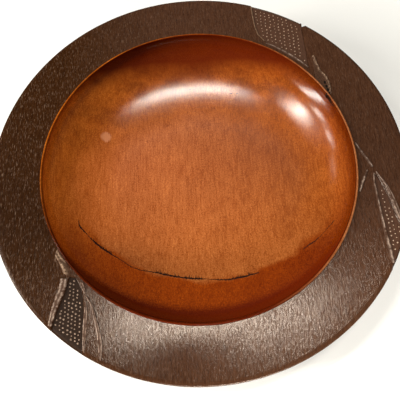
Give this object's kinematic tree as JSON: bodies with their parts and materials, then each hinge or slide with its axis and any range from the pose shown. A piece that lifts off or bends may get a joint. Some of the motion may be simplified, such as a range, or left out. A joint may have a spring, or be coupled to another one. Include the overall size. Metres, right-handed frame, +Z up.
{
  "type": "offering plate",
  "caption": "Turned wooden collection plate with a shallow polished bowl, a broad dark rim with carved leaf ornament, and a felt-bottomed foot.",
  "frame": {"origin": "centre of the underside, where the plate rests", "axes": "+Z up along the turning axis; -Y towards the near side of the picture; +X to its right"},
  "size_m": [0.305, 0.305, 0.0464],
  "materials": {
    "bowl_wood": "polished red-brown hardwood",
    "rim_wood": "satin dark-brown stained hardwood with fine grain",
    "carved_wood": "satin dark-brown stained hardwood, tan on raised edges",
    "bark": "rough natural edge",
    "felt": "dark green felt"
  },
  "bodies": {
    "root": {"bowl": "bowl_wood", "rim": "rim_wood", "felt_pad": "felt", "leaf_upper": "carved_wood", "leaf_right": "carved_wood", "leaf_lower": "carved_wood", "rib_upper": "carved_wood", "twig_right": "carved_wood", "twig_right_side": "carved_wood", "rib_right": "carved_wood", "blade_right": "carved_wood", "twig_lower": "carved_wood", "stem_lower": "carved_wood", "blade_lower_mid": "carved_wood", "blade_lower_side": "carved_wood", "bark_upper": "bark", "bark_lower": "bark"}
  },
  "joints": []
}
